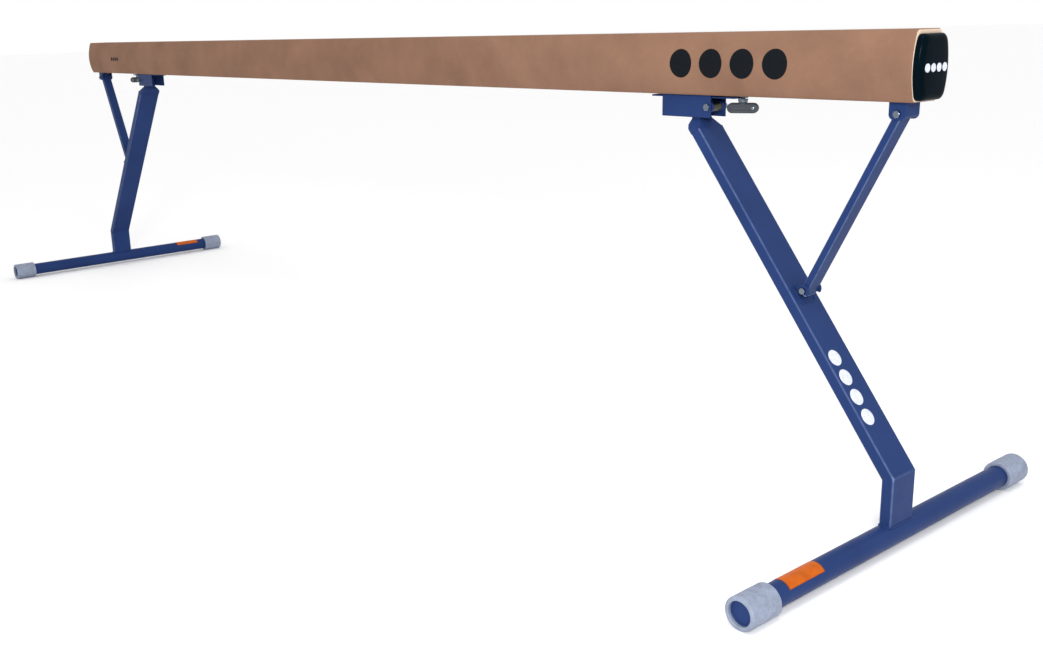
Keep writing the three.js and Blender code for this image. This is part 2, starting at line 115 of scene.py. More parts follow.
# Millimetres that the edges of the CAD's own metalwork are rounded by.
BROKEN_EDGES = {
    "lock_channel": 1.6,
    "lock_plate": 0.8,
    "brace_bracket": 1.2,
    "leg_clevis": 1.2,
    "leg_head": 2.6,
    "clamp_washer": 0.3,
    "clamp_insert": 0.3,
    "bracket_screw_front": 0.6,
    "bracket_screw_rear": 0.6,
    "brace_top_sleeve": 0.3,
    "brace_low_sleeve": 0.3,
}


# Settings


class BeamSettings(bpy.types.PropertyGroup):
    """Sizes and colours of the padded beam."""

    top_width: bpy.props.FloatProperty(
        name="Top width", description="Width across the top, corner to corner", default=0.1, unit="LENGTH"
    )
    corner: bpy.props.FloatProperty(
        name="Corner", description="Radius of the cover's corners", default=0.01, unit="LENGTH"
    )
    suede: bpy.props.StringProperty(name="Suede", description="Cover colour, sRGB hex", default="846350")
    edging: bpy.props.StringProperty(
        name="Foam edge", description="Foam edge colour, sRGB hex", default="CBB6A2"
    )
    cap: bpy.props.StringProperty(name="Cap", description="End cap colour, sRGB hex", default="020C13")
    mark_radius: bpy.props.FloatProperty(
        name="Mark radius",
        description="Radius of the discs on the beam's side",
        default=0.037,
        unit="LENGTH",
    )


class LegSettings(bpy.types.PropertyGroup):
    """Sizes and colours of the folding legs."""

    lean: bpy.props.FloatProperty(
        name="Lean",
        description="Lean of the leg from upright",
        default=math.radians(37.76),
        subtype="ANGLE",
    )
    length: bpy.props.FloatProperty(
        name="Leg length", description="Leaning length from bend to head", default=1.018, unit="LENGTH"
    )
    bend_height: bpy.props.FloatProperty(
        name="Bend height", description="Height of the bend above the floor", default=0.19, unit="LENGTH"
    )
    tube_corner: bpy.props.FloatProperty(
        name="Tube corner", description="Outer corner radius of the leg tube", default=0.0045, unit="LENGTH"
    )
    grip_length: bpy.props.FloatProperty(
        name="Grip length", description="Length of the clamp's bar grip", default=0.082, unit="LENGTH"
    )
    grip_thickness: bpy.props.FloatProperty(
        name="Grip thickness", description="Thickness of the clamp's bar grip", default=0.02, unit="LENGTH"
    )
    paint: bpy.props.StringProperty(name="Paint", description="Powder coat, sRGB hex", default="223562")
    rubber: bpy.props.StringProperty(name="Rubber", description="Cup rubber, sRGB hex", default="818A9E")
    label: bpy.props.StringProperty(name="Label", description="Label vinyl, sRGB hex", default="B45404")


class StageSettings(bpy.types.PropertyGroup):
    """Floor, light and camera."""

    focal: bpy.props.FloatProperty(
        name="Focal length",
        description="Lens in millimetres on a 36 mm sensor",
        default=38.526,
        unit="CAMERA",
    )
    key_power: bpy.props.FloatProperty(
        name="Key light", description="Power of the key softbox", default=115.0, unit="POWER"
    )


# Materials

# Settings and socket numbers of a colour Mix node.
MIX = {"data_type": "RGBA", "blend_type": "MIX"}
MULTIPLY = {"data_type": "RGBA", "blend_type": "MULTIPLY"}
MIX_FACTOR, MIX_A, MIX_B, MIX_RESULT = 0, 6, 7, 2


def linear(hex_colour):
    """An sRGB hex colour as linear RGBA."""
    channels = [int(hex_colour[i : i + 2], 16) / 255 for i in (0, 2, 4)]
    return [c / 12.92 if c <= 0.04045 else ((c + 0.055) / 1.055) ** 2.4 for c in channels] + [1.0]


def shaded(hex_colour, factor):
    """The linear colour made lighter or darker."""
    return [min(1.0, c * factor) for c in linear(hex_colour)[:3]] + [1.0]


def grey(value):
    """A neutral linear colour, or a plain number where a ramp feeds one."""
    return (value, value, value, 1.0)


def link(material, node, links):
    """Feeds a node's sockets, given by name or number."""
    for socket, source in links.items():
        material.node_tree.links.new(source, node.inputs[socket])


def set_stops(color_ramp, stops):
    """Stops of a ramp, each given as its place and colour."""
    while len(color_ramp.elements) < len(stops):
        color_ramp.elements.new(0.5)
    for element, (at, colour) in zip(color_ramp.elements, stops):
        element.position = at
        element.color = colour


def add_node(material, kind, settings=None, links=None):
    """Adds a node. settings holds its attributes, socket values and ramp stops. links feeds its sockets."""
    node = material.node_tree.nodes.new(kind)
    for key, value in (settings or {}).items():
        if key == "stops":
            set_stops(node.color_ramp, value)
        elif isinstance(key, str) and hasattr(node, key):
            setattr(node, key, value)
        else:
            node.inputs[key].default_value = value
    link(material, node, links or {})
    return node


def new_material(name, fixed):
    """A material, its shader with fixed values, and object coordinates that keep patterns at real size."""
    material = bpy.data.materials.new(name)
    material.use_nodes = True
    shader = material.node_tree.nodes["Principled BSDF"]
    for socket, value in fixed.items():
        shader.inputs[socket].default_value = value
    place = add_node(material, "ShaderNodeTexCoord").outputs["Object"]
    return material, shader, place


def cloud_settings(millimetres, detail, rough):
    """Noise whose patches are about so many millimetres across."""
    return {"Scale": 1000.0 / millimetres, "Detail": detail, "Roughness": rough}


def drift(material, place, millimetres, stops, detail=4.0, rough=0.55):
    """Colours or values that drift from stop to stop over the surface in irregular patches."""
    settings = cloud_settings(millimetres, detail, rough)
    clouds = add_node(material, "ShaderNodeTexNoise", settings, {"Vector": place})
    toned = add_node(material, "ShaderNodeValToRGB", {"stops": stops}, {"Fac": clouds.outputs["Fac"]})
    return toned.outputs["Color"]


def relief(material, place, millimetres, depth, strength, detail=4.0, rough=0.55, over=None):
    """Irregular relief, its width and depth in millimetres, laid over any other relief."""
    settings = cloud_settings(millimetres, detail, rough)
    clouds = add_node(material, "ShaderNodeTexNoise", settings, {"Vector": place})
    links = {"Height": clouds.outputs["Fac"]}
    if over is not None:
        links["Normal"] = over
    raised = add_node(material, "ShaderNodeBump", {"Distance": depth * MM, "Strength": strength}, links)
    return raised.outputs["Normal"]


def painted_highlight_mask(material, place, most):
    """Where the painted highlight lies on outer edges: 0 on flat surfaces and up to most along edges, in
    broken stretches.
    """
    sharp = add_node(material, "ShaderNodeNewGeometry").outputs["Pointiness"]
    stops = [(0.515, grey(0.0)), (0.59, grey(most))]
    edge = add_node(material, "ShaderNodeValToRGB", {"stops": stops}, {"Fac": sharp})
    broken = drift(material, place, 25, [(0.3, grey(0.35)), (0.6, grey(1.0))], 4.0, 0.7)
    links = {MIX_A: edge.outputs["Color"], MIX_B: broken}
    return add_node(material, "ShaderNodeMix", {**MULTIPLY, MIX_FACTOR: 1.0}, links).outputs[MIX_RESULT]


def synthetic_suede(name, colour):
    """Brushed microfibre: dead matt, with a nap that lies lighter or darker where hands have stroked it."""
    fixed = {"Roughness": 0.94, "Specular IOR Level": 0.2, "Sheen Weight": 0.22, "Sheen Roughness": 0.45}
    material, shader, place = new_material(name, {**fixed, "Sheen Tint": shaded(colour, 1.3)})
    strokes = [(0.3, shaded(colour, 0.84)), (0.72, shaded(colour, 1.1))]
    patches = drift(material, place, 160, strokes, 3.0, 0.6)
    # The real fibres are 0.1 mm across. They are drawn as flecks of 3 mm so that they show.
    flecks = drift(material, place, 3, [(0.3, grey(0.62)), (0.7, grey(1.0))], 5.0, 0.75)
    nap = add_node(material, "ShaderNodeMix", {**MULTIPLY, MIX_FACTOR: 0.45}, {MIX_A: patches, MIX_B: flecks})
    chalk = drift(material, place, 45, [(0.55, grey(0.0)), (0.8, grey(0.16))], 6.0, 0.7)
    links = {MIX_FACTOR: chalk, MIX_A: nap.outputs[MIX_RESULT]}
    chalked = add_node(material, "ShaderNodeMix", {**MIX, MIX_B: shaded(colour, 1.5)}, links)
    pile = relief(material, place, 1.6, 0.5, 0.7, 6.0, 0.8)
    stroked = relief(material, place, 160, 1.2, 0.3, 3.0, 0.6, over=pile)
    link(material, shader, {"Base Color": chalked.outputs[MIX_RESULT], "Normal": stroked})
    return material


def powder_coat(name, colour, painted_edge_highlight=False):
    """Powder-coated steel: satin, with the faint orange peel of stoved powder. With the flag set, a light
    highlight is painted along its edges.
    """
    material, shader, place = new_material(name, {"IOR": 1.45, "Specular IOR Level": 0.06})
    tone = drift(material, place, 220, [(0.3, shaded(colour, 0.88)), (0.7, shaded(colour, 1.1))], 3.0)
    dust = drift(material, place, 12, [(0.56, grey(0.0)), (0.8, grey(0.2))], 8.0, 0.75)
    dusty = {**MIX, MIX_B: shaded(colour, 1.7)}
    coat = add_node(material, "ShaderNodeMix", dusty, {MIX_FACTOR: dust, MIX_A: tone}).outputs[MIX_RESULT]
    if painted_edge_highlight:
        # Painted highlight: the rounded tube edges are lightened towards a pale blue, where the lamps glint
        # along them.
        links = {MIX_FACTOR: painted_highlight_mask(material, place, 0.85), MIX_A: coat}
        highlighted = {**MIX, MIX_B: linear("A9BCE4")}
        coat = add_node(material, "ShaderNodeMix", highlighted, links).outputs[MIX_RESULT]
    gloss = drift(material, place, 30, [(0.3, grey(0.26)), (0.75, grey(0.44))], 5.0, 0.7)
    peel = relief(material, place, 2.6, 0.12, 0.55, 2.0, 0.4)
    link(material, shader, {"Base Color": coat, "Roughness": gloss, "Normal": peel})
    return material


def moulded_rubber(name, colour):
    """Grey moulded rubber: matt, cloudy where the filler shows, with a fine grain from the mould."""
    material, shader, place = new_material(name, {"IOR": 1.52})
    filler = [(0.32, shaded(colour, 0.72)), (0.5, linear(colour)), (0.7, shaded(colour, 1.2))]
    tone = drift(material, place, 26, filler, 6.0, 0.7)
    specks = drift(material, place, 3.5, [(0.34, grey(0.55)), (0.5, grey(1.0))], 4.0, 0.8)
    skin = add_node(material, "ShaderNodeMix", {**MULTIPLY, MIX_FACTOR: 0.5}, {MIX_A: tone, MIX_B: specks})
    dull = drift(material, place, 26, [(0.3, grey(0.6)), (0.7, grey(0.82))], 6.0, 0.7)
    grain = relief(material, place, 2.2, 0.25, 0.6, 5.0, 0.7)
    link(material, shader, {"Base Color": skin.outputs[MIX_RESULT], "Roughness": dull, "Normal": grain})
    return material


def moulded_plastic(name, colour, roughness, grain_mm, depth_mm, specular=0.2):
    """Injection-moulded plastic: an even skin over fine mould grain, with handling marks in the gloss."""
    material, shader, place = new_material(name, {"IOR": 1.49, "Specular IOR Level": specular})
    tone = drift(material, place, 60, [(0.3, shaded(colour, 0.85)), (0.7, shaded(colour, 1.2))])
    smears = drift(material, place, 18, [(0.35, grey(roughness)), (0.75, grey(roughness + 0.14))], 7.0, 0.7)
    grain = relief(material, place, grain_mm, depth_mm, 0.5, 3.0)
    link(material, shader, {"Base Color": tone, "Roughness": smears, "Normal": grain})
    return material


def plated_steel(name, colour, roughness):
    """Zinc-plated steel: a bright passivated skin, its spangle a little uneven in tone and gloss."""
    material, shader, place = new_material(name, {"Metallic": 1.0})
    tone = drift(material, place, 5, [(0.3, shaded(colour, 0.8)), (0.7, shaded(colour, 1.15))], 5.0, 0.65)
    gloss = drift(material, place, 5, [(0.3, grey(roughness)), (0.7, grey(roughness + 0.12))], 5.0, 0.65)
    spangle = relief(material, place, 1.2, 0.05, 0.4, 3.0)
    link(material, shader, {"Base Color": tone, "Roughness": gloss, "Normal": spangle})
    return material


def printed_ink(name, colour):
    """Screen-printed ink: thin and matt, a little uneven in tone, with a fine relief."""
    fixed = {"Roughness": 0.6, "IOR": 1.45, "Specular IOR Level": 0.06}
    material, shader, place = new_material(name, fixed)
    tone = drift(material, place, 9, [(0.3, shaded(colour, 0.8)), (0.72, shaded(colour, 1.25))], 7.0, 0.75)
    link(material, shader, {"Base Color": tone, "Normal": relief(material, place, 2, 0.15, 0.5, 4.0, 0.7)})
    return material


def label_vinyl(name, colour):
    """Printed vinyl film: smooth, a little sun-faded, with the glue's ripples just showing."""
    fixed = {"Roughness": 0.42, "IOR": 1.5, "Specular IOR Level": 0.15}
    material, shader, place = new_material(name, fixed)
    tone = drift(material, place, 24, [(0.3, shaded(colour, 0.82)), (0.7, shaded(colour, 1.12))], 5.0)
    link(material, shader, {"Base Color": tone, "Normal": relief(material, place, 14, 0.3, 0.4, 3.0)})
    return material


def closed_cell_foam(name, colour):
    """Closed-cell foam edge: dull and full of cut cells 1.8 mm across."""
    material, shader, place = new_material(name, {"Roughness": 0.9})
    cells = add_node(material, "ShaderNodeTexVoronoi", {"Scale": 1000.0 / 1.8}, {"Vector": place})
    hollow = cells.outputs["Distance"]
    # Painted shade: each cut cell is darker towards its middle, where the bump sinks it.
    stops = [(0.1, shaded(colour, 0.85)), (0.6, shaded(colour, 1.08))]
    tone = add_node(material, "ShaderNodeValToRGB", {"stops": stops}, {"Fac": hollow})
    cut = add_node(material, "ShaderNodeBump", {"Distance": 0.3 * MM, "Strength": 0.5}, {"Height": hollow})
    link(material, shader, {"Base Color": tone.outputs["Color"], "Normal": cut.outputs["Normal"]})
    return material


def extruded_aluminium(name):
    """Extruded aluminium: bare and dull, with fine die lines along its length."""
    material, shader, place = new_material(name, {"Metallic": 1.0, "Roughness": 0.36})
    stretch = add_node(material, "ShaderNodeMapping", {"Scale": (0.02, 1.0, 1.0)}, {"Vector": place})
    lines = stretch.outputs["Vector"]
    tone = drift(material, lines, 1.5, [(0.3, grey(0.5)), (0.7, grey(0.66))], 4.0, 0.6)
    link(material, shader, {"Base Color": tone, "Normal": relief(material, lines, 1.5, 0.05, 0.4, 4.0, 0.6)})
    return material


MATERIALS = {}


def make_materials():
    """Every finish of the object, by the name that the builders use."""
    beam = bpy.context.scene.beam_settings
    leg = bpy.context.scene.leg_settings
    MATERIALS.update(
        suede=synthetic_suede("synthetic_suede", beam.suede),
        foam=closed_cell_foam("closed_cell_foam", beam.edging),
        aluminium=extruded_aluminium("extruded_aluminium"),
        gloss_plastic=moulded_plastic(
            "gloss_abs", beam.cap, roughness=0.14, grain_mm=1.5, depth_mm=0.02, specular=0.018
        ),
        powder_coat=powder_coat("powder_coated_steel", leg.paint),
        tube_coat=powder_coat("powder_coated_steel_painted_highlight", leg.paint, painted_edge_highlight=True),
        rubber=moulded_rubber("moulded_rubber", leg.rubber),
        zinc=plated_steel("bright_zinc_steel", "757F8B", roughness=0.2),
        yellow_zinc=plated_steel("yellow_zinc_steel", "4B4A3C", roughness=0.32),
        nylon=moulded_plastic("turned_nylon", "DDDBD0", roughness=0.4, grain_mm=0.8, depth_mm=0.05),
        grip_plastic=moulded_plastic(
            "satin_grip_plastic", "3D4147", roughness=0.34, grain_mm=0.9, depth_mm=0.08
        ),
        black_ink=printed_ink("black_screen_ink", "101418"),
        white_ink=printed_ink("white_screen_ink", "C6CAD6"),
        label=label_vinyl("orange_vinyl", leg.label),
        label_edge=label_vinyl("label_border", "7A3A14"),
    )


def finish(name):
    """One of the materials, all of which are made when the first is asked for."""
    if not MATERIALS:
        make_materials()
    return MATERIALS[name]


# Mesh building


def add_piece(name, vertices, faces, material, body, sharp=30.0):
    """A new mesh object that rides on a CAD body, smooth apart from its sharp edges."""
    mesh = bpy.data.meshes.new(name)
    mesh.from_pydata([tuple(v) for v in vertices], [], faces)
    work = bmesh.new()
    work.from_mesh(mesh)
    bmesh.ops.remove_doubles(work, verts=work.verts, dist=1e-7)
    bmesh.ops.recalc_face_normals(work, faces=work.faces)
    work.to_mesh(mesh)
    work.free()
    mesh.shade_smooth()
    mesh.set_sharp_from_angle(angle=math.radians(sharp))
    mesh.materials.append(finish(material))
    piece = bpy.data.objects.new(name, mesh)
    bpy.context.scene.collection.objects.link(piece)
    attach(piece, body)
    return piece


def on_side(side, points):
    """Points of the right end, turned half a turn about Z for the left end."""
    if side == "right":
        return [Vector(p) for p in points]
    return [Vector((-p[0], -p[1], p[2])) for p in points]


def row(first_and_step):
    """Places of the discs in a printed row."""
    first, step = first_and_step
    return [first + step * i for i in range(DISCS_IN_ROW)]


def loft(rings, closed_ends=True, endless=False):
    """Faces through rings of equal length. endless joins the last ring to the first."""
    count = len(rings[0])
    vertices = [p for ring in rings for p in ring]
    total = len(rings)
    faces = []
    for r in range(total if endless else total - 1):
        a, b = r * count, ((r + 1) % total) * count
        for i in range(count):
            j = (i + 1) % count
            faces.append((a + i, a + j, b + j, b + i))
    if closed_ends and not endless:
        faces.append(tuple(reversed(range(count))))
        faces.append(tuple(range((total - 1) * count, total * count)))
    return vertices, faces


def circle(steps):
    """Points of a unit circle, evenly spaced."""
    angles = [2 * math.pi * i / steps for i in range(steps)]
    return [(math.cos(angle), math.sin(angle)) for angle in angles]


def spokes(axis, steps):
    """Unit vectors square to an axis, evenly spaced about it."""
    side = axis.orthogonal().normalized()
    other = axis.cross(side)
    return [side * u + other * v for u, v in circle(steps)]


def turned(profile, origin, axis, steps=48):
    """A lathe-turned solid: profile holds (radius, distance along axis) from one end to the other."""
    thinnest = 1e-6
    rings = []
    for radius, along in profile:
        centre = Vector(origin) + axis * along
        rings.append([centre + out * max(radius, thinnest) for out in spokes(axis, steps)])
    return loft(rings)


def turned_ring(profile, origin, axis, steps=48):
    """A turned solid with a hole through it: profile is a closed outline of (radius, distance)."""
    rings = []
    for out in spokes(axis, steps):
        rings.append([Vector(origin) + axis * along + out * radius for radius, along in profile])
    return loft(rings, endless=True)


def arc(centre, radius, start, end, steps):
    """Points of an arc in the plane, angles in degrees."""
    points = []
    for i in range(steps + 1):
        angle = math.radians(start + (end - start) * i / steps)
        points.append((centre[0] + radius * math.cos(angle), centre[1] + radius * math.sin(angle)))
    return points


def rounded_rectangle(width, height, corner, steps=4, flats=()):
    """A rectangle's outline with round corners. flats adds points at those distances from each corner."""
    x, y = width / 2 - corner, height / 2 - corner
    points = []
    for centre, start in (((x, y), 0), ((-x, y), 90), ((-x, -y), 180), ((x, -y), 270)):
        rounded = arc(centre, corner, start, start + 90, steps)
        back, ahead = math.radians(start - 90), math.radians(start + 180)
        before = [(rounded[0][0] + d * math.cos(back), rounded[0][1] + d * math.sin(back)) for d in flats]
        after = [(rounded[-1][0] + d * math.cos(ahead), rounded[-1][1] + d * math.sin(ahead)) for d in flats]
        points += before[::-1] + rounded + after
    return points


def joined(*parts):
    """Several vertex and face lists as one."""
    vertices, faces = [], []
    for part_vertices, part_faces in parts:
        start = len(vertices)
        vertices += list(part_vertices)
        faces += [tuple(start + i for i in face) for face in part_faces]
    return vertices, faces


# Beam


def side_curve():
    """Radius of the beam's bulged side, and its centre's distance from the beam's middle plane."""
    bulge = HALF_WIDTH - bpy.context.scene.beam_settings.top_width / 2
    radius = (HALF_HEIGHT**2 + bulge**2) / (2 * bulge)
    return radius, HALF_WIDTH - radius


def side_half_width(z):
    """Half the cover's width at a height on its bulged side."""
    radius, centre = side_curve()
    return centre + math.sqrt(radius**2 - (z - BEAM_MIDDLE) ** 2)


def beam_outline(inset, corner, seam_depth=0.0):
    """The section moved in by inset: flat top, bulged sides, round corners, any seam groove beneath."""
    corner_steps, side_steps = 8, 28
    side_radius, centre = side_curve()
    radius = side_radius - inset
    half = HALF_HEIGHT - inset
    corner_y = centre + math.sqrt((radius - corner) ** 2 - (half - corner) ** 2)
    turn = math.degrees(math.asin((half - corner) / (radius - corner)))
    right = arc((corner_y, half - corner), corner, 90, turn, corner_steps)
    right += arc((centre, 0), radius, turn, -turn, side_steps)[1:-1]
    right += arc((corner_y, corner - half), corner, -turn, -90, corner_steps)
    seam = [(SEAM_HALF_WIDTH, -half), (0.0, -half + seam_depth), (-SEAM_HALF_WIDTH, -half)]
    left = [(-y, z) for y, z in reversed(right)]
    top = [(corner_y * share, half) for share in (-0.75, -0.25, 0.25, 0.75)]
    return right + seam + left + top


def beam_ring(x, inset, corner, wave=0.0):
    """One section of the beam at x. wave is how far its sides stray where the padding is uneven."""
    ring = []
    for y, z in beam_outline(inset, corner, SEAM_DEPTH):
        stray = math.sin(7.3 * x + 11 * z) + 0.6 * math.sin(17.1 * x - 23 * y + 1.7)
        swell = wave * stray * abs(y) / HALF_WIDTH
        ring.append(Vector((x, y + math.copysign(swell, y), BEAM_MIDDLE + z)))
    return ring


def build_cover():
    """Suede cover: one long padded skin whose ends roll in over the foam."""
    settings = bpy.context.scene.beam_settings
    half = BEAM_HIGH.x
    roll_steps, spans, even_end = 5, 120, 0.012
    ends = []
    for step in range(roll_steps + 1):
        angle = math.radians(90 * step / roll_steps)
        ends.append((half - COVER_ROLL + COVER_ROLL * math.sin(angle), COVER_ROLL * (1 - math.cos(angle))))
    inner = half - even_end
    stations = [(-x, inset) for x, inset in reversed(ends)]
    stations += [(-inner + 2 * inner * i / spans, 0.0) for i in range(spans + 1)]
    stations += ends
    rings = []
    for x, inset in stations:
        wave = COVER_SWELL if abs(x) < inner else 0.0
        rings.append(beam_ring(x, inset, settings.corner, wave))
    vertices, faces = loft(rings)
    cover = add_piece("suede_cover_skin", vertices, faces, "suede", "beam", 40)
    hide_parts("suede_cover", "foam_padding")


def build_foam_edges():
    """Light foam edge round each end, between the cover and the cap. It shows most above the cap."""
    middle, half_band, half_thick, corner = 0.007, 0.0053, 0.001, 0.0105
    for side in SIDES:
        rings = []
        for u, v in circle(12):
            x = BEAM_HIGH.x + 0.0002 + half_thick * u
            rings.append(on_side(side, beam_ring(x, middle + half_band * v, corner)))
        vertices, faces = loft(rings, endless=True)
        add_piece(f"{side}_foam_edge", vertices, faces, "foam", "beam", 60)


def build_end_caps():
    """Moulded end caps: a rounded shell with a slightly crowned face, set a little below the beam's top."""
    base = BEAM_HIGH.x + 0.0003
    skirt, wall = 0.006, 0.002
    deep, across, inset, crown = 0.013, 0.018, 0.0036, 0.0008
    squash, drop, corner, steps = 0.96, 0.0032, 0.018, 14
    stations = [(base - skirt, inset + skirt), (base - skirt, inset), (base + wall, inset)]
    for step in range(steps + 1):
        angle = math.radians(90 * step / steps)
        x = CAP_FACE - crown - (deep - crown) * (1 - math.sin(angle))
        stations.append((x, inset + across * (1 - math.cos(angle))))
    stations += [(CAP_FACE - crown / 2, inset + across + 0.006), (CAP_FACE, inset + across + 0.018)]
    for side in SIDES:
        rings = []
        for x, depth in stations:
            outline = beam_outline(depth, corner)
            ring = [Vector((x, y, BEAM_MIDDLE + z * squash - drop)) for y, z in outline]
            rings.append(on_side(side, ring))
        cap = add_piece(f"{side}_cap_shell", *loft(rings), "gloss_plastic", "beam", 50)
        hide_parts(f"{side}_end_cap")


def disc(centre, along, up, radius, thickness):
    """A thin printed disc with a soft edge, lying on the plane of along and up."""
    out = along.cross(up).normalized()
    rings = []
    for scale, lift in ((1.0, 0.0), (1.0, 0.6), (0.985, 1.0), (0.6, 1.0), (0.2, 1.0)):
        start = centre + out * thickness * lift
        rings.append([start + (along * u + up * v) * radius * scale for u, v in circle(36)])
    return loft(rings)


def side_discs(places, z, radius, way):
    """Printed discs that follow the beam's bulged side. way is -1 for the front and 1 for the rear."""
    levels = [(1.0, -INK_SINK)] + [(scale, INK_LIFT) for scale in (1.0, 0.985, 0.6, 0.2)]
    parts = []
    for x in places:
        rings = []
        for scale, lift in levels:
            reach = radius * scale
            ring = []
            for u, v in circle(36):
                height = z + reach * v
                ring.append(Vector((x + reach * u, way * (side_half_width(height) + lift), height)))
            rings.append(ring)
        parts.append(loft(rings))
    return joined(*parts)


def build_beam_marks():
    """Rows of plain discs printed on the beam's sides: large ones on one side, small ones on the other."""
    large = bpy.context.scene.beam_settings.mark_radius
    small = large / 4
    large_height, small_height = BEAM_MIDDLE + 0.0025, BEAM_MIDDLE - 0.005
    for side in SIDES:
        vertices, faces = joined(
            side_discs(row(LARGE_ROW), large_height, large, -1),
            side_discs(row(SMALL_ROW), small_height, small, 1),
        )
        add_piece(f"{side}_side_mark", on_side(side, vertices), faces, "black_ink", "beam", 60)


def build_cap_marks():
    """Small light discs in a row on each cap's face."""
    radius, sunk, thickness, below_middle = 0.0098, 0.0009, 0.0011, 0.004
    for side in SIDES:
        parts = []
        for y in row(CAP_ROW):
            centre = Vector((CAP_FACE - sunk, y, BEAM_MIDDLE - below_middle))
            parts.append(disc(centre, ACROSS, UP, radius, thickness))
        vertices, faces = joined(*parts)
        add_piece(f"{side}_cap_mark", on_side(side, vertices), faces, "white_ink", "beam", 60)


# Legs


def leg_directions():
    """The leg's up and outward directions."""
    lean = bpy.context.scene.leg_settings.lean
    return Vector((-math.sin(lean), 0, math.cos(lean))), Vector((math.cos(lean), 0, math.sin(lean)))


def bend_point():
    """Where the leg's two centre lines meet."""
    return Vector((FOOT.x, 0, bpy.context.scene.leg_settings.bend_height))


def leg_point(up, out, y):
    """A point on the leaning tube: up from the bend, out from its centre line, and across."""
    upward, outward = leg_directions()
    return bend_point() + upward * up + outward * out + ACROSS * y


def saddle(section, lift):
    """The line where the leg tube meets the round crossbar."""
    line = []
    for a, y in section:
        line.append(Vector((FOOT.x + a, y, FOOT.z + math.sqrt(BAR_RADIUS**2 - a**2) + lift)))
    return line


def build_leg_tubes():
    """Leg tubes: rectangular steel tube, saddle-cut at the foot and mitred at the bend."""
    settings = bpy.context.scene.leg_settings
    section = rounded_rectangle(LEG_THICK, LEG_WIDE, settings.tube_corner, 5, TUBE_FLATS)
    mitre = math.tan(settings.lean / 2)
    into_bar, into_head = 0.0005, 0.0005
    far_from_bend, near_bend = 0.012, 0.0012
    rings = [saddle(section, -into_bar)]
    for before in (far_from_bend, near_bend):
        rings.append([Vector((FOOT.x + a, y, settings.bend_height + a * mitre - before)) for a, y in section])
    for after in (near_bend, far_from_bend):
        rings.append([leg_point(after - a * mitre, a, y) for a, y in section])
    for share in (0.2, 0.4, 0.6, 0.8, 1.0):
        rings.append([leg_point((settings.length + into_head) * share, a, y) for a, y in section])
    for side in SIDES:
        tube_mesh = loft([on_side(side, ring) for ring in rings], closed_ends=False)
        tube = add_piece(f"{side}_leg_box_tube", *tube_mesh, "tube_coat", f"{side}_leg", 32)
        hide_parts(f"{side}_leg_tube")


def bead(points, radius):
    """A weld bead along a closed line of points, swelling a little at every other point."""
    ripple = 0.07
    slant = Vector((0.31, 0.17, 0.94))
    rings = []
    for i, point in enumerate(points):
        along = (points[(i + 1) % len(points)] - points[i - 1]).normalized()
        side = along.cross(slant).normalized()
        up = side.cross(along)
        thick = radius * (1 + ripple if i % 2 else 1 - ripple)
        rings.append([point + (side * u + up * v) * thick for u, v in circle(8)])
    return loft(rings, endless=True)


def resampled(points, spacing):
    """An even number of evenly spaced points along a closed line."""
    loop = points + [points[0]]
    lengths = [0.0]
    for a, b in zip(loop, loop[1:]):
        lengths.append(lengths[-1] + (b - a).length)
    count = 2 * max(8, round(lengths[-1] / spacing / 2))
    even, index = [], 0
    for i in range(count):
        target = lengths[-1] * i / count
        while lengths[index + 1] < target:
            index += 1
        share = (target - lengths[index]) / (lengths[index + 1] - lengths[index])
        even.append(loop[index].lerp(loop[index + 1], share))
    return even


def build_welds():
    """Painted weld beads at the foot, the head and the brace clevis."""
    settings = bpy.context.scene.leg_settings
    section = rounded_rectangle(LEG_THICK, LEG_WIDE, settings.tube_corner)
    head = [leg_point(settings.length, a, y) for a, y in section]
    upward, _ = leg_directions()
    _, _, pivot = cad_box("clevis_bolt")
    pivot_up = (Vector((pivot.x, 0, pivot.z)) - bend_point()).dot(upward)
    clevis = []
    for a, y in rounded_rectangle(CLEVIS_LONG, CLEVIS_WIDE, 0.003, 2):
        clevis.append(leg_point(pivot_up + a, LEG_THICK / 2 + 0.0005, y))
    beads = ((saddle(section, 0.001), 0.0032), (head, 0.0007), (clevis, 0.002))
    for side in SIDES:
        parts = []
        for line, radius in beads:
            vertices, faces = bead(resampled(line, radius * 1.1), radius)
            parts.append((on_side(side, vertices), faces))
        add_piece(f"{side}_weld_beads", *joined(*parts), "powder_coat", f"{side}_leg", 60)


def build_crossbars():
    """Crossbar tube with a closed, slightly crowned plug in each end."""
    half = (BAR_HIGH.y - BAR_LOW.y) / 2
    sunk, edge, plug_radius, bore = 0.0012, 0.0008, BAR_RADIUS - 0.004, BAR_RADIUS - 0.0028
    end = [(0, -half), (plug_radius, -half + sunk), (bore, -half)]
    end += [(BAR_RADIUS - edge, -half), (BAR_RADIUS, -half + edge)]
    other_end = [(radius, -along) for radius, along in reversed(end)]
    profile = end + [(BAR_RADIUS, -half / 2), (BAR_RADIUS, half / 2)] + other_end
    vertices, faces = turned(profile, FOOT, ACROSS, 72)
    for side in SIDES:
        name, body = f"{side}_foot_tube", f"{side}_leg"
        tube = add_piece(name, on_side(side, vertices), faces, "powder_coat", body, 40)
        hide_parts(f"{side}_crossbar", f"{side}_crossbar_plug_front", f"{side}_crossbar_plug_rear")


